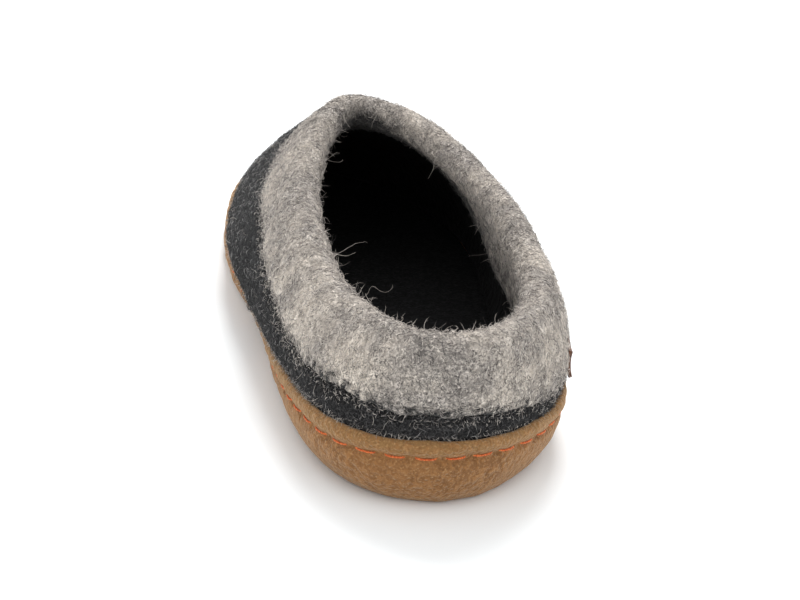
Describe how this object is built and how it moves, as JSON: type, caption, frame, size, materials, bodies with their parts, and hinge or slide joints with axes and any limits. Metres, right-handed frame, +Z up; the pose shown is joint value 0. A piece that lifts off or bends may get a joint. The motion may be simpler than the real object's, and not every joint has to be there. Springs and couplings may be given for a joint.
{
  "type": "felt slipper",
  "caption": "Slip-on felt house slipper for the right foot, charcoal upper with a light grey folded collar, stitched tan suede cup sole",
  "frame": {"origin": "middle of the slipper's box, on the floor that it stands on", "axes": "+Y points to the toe along the slipper's length, +X to the outer side of the right foot, +Z up"},
  "size_m": [0.1028, 0.2716, 0.0731],
  "materials": {
    "charcoal_felt": "fuzzy wool felt with pale fibres",
    "grey_felt": "fuzzy mottled wool felt",
    "suede": "napped suede, matt",
    "footbed_felt": "dense felt",
    "tab_leather": "smooth leather, satin",
    "orange_thread": "twisted waxed thread, satin"
  },
  "bodies": {
    "root": {"upper": "charcoal_felt", "collar": "grey_felt", "sole": "suede", "insole": "footbed_felt", "side_tab": "tab_leather"}
  },
  "joints": []
}
